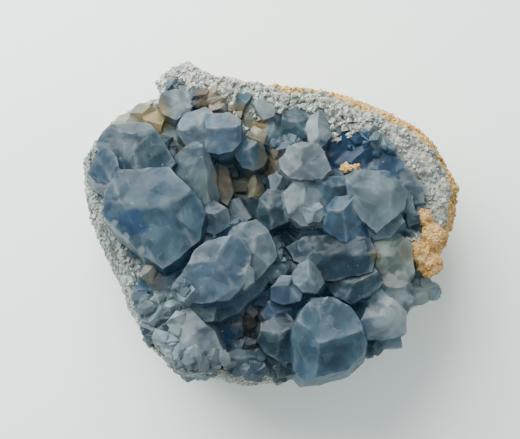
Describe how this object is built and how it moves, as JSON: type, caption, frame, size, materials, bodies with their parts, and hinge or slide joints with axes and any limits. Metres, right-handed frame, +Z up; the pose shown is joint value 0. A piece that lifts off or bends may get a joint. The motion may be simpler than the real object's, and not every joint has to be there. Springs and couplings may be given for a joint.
{
  "type": "celestite cluster",
  "caption": "Hand-sized piece of a geode wall with blocky blue crystals grown over its inner side, ochre outer skin and lodged clay, resting on its flat broken base.",
  "frame": {"origin": "centre of the bounding box in plan, at the level of the flat broken base", "axes": "+Z up out of the crystals, +X along the longest side, towards the rounded ochre end of the wall, -Y towards the edge where the crystals hang over"},
  "size_m": [0.1132, 0.0966, 0.05],
  "materials": {
    "wall": "sugary grey-white, ochre on the outer skin",
    "crystal": "translucent blue with glossy faces",
    "clay": "matt, granular ochre"
  },
  "bodies": {
    "root": {"geode_wall": "wall", "celestite_crystals": "crystal", "clay_patch": "clay", "clay_crumb": "clay"}
  },
  "joints": []
}
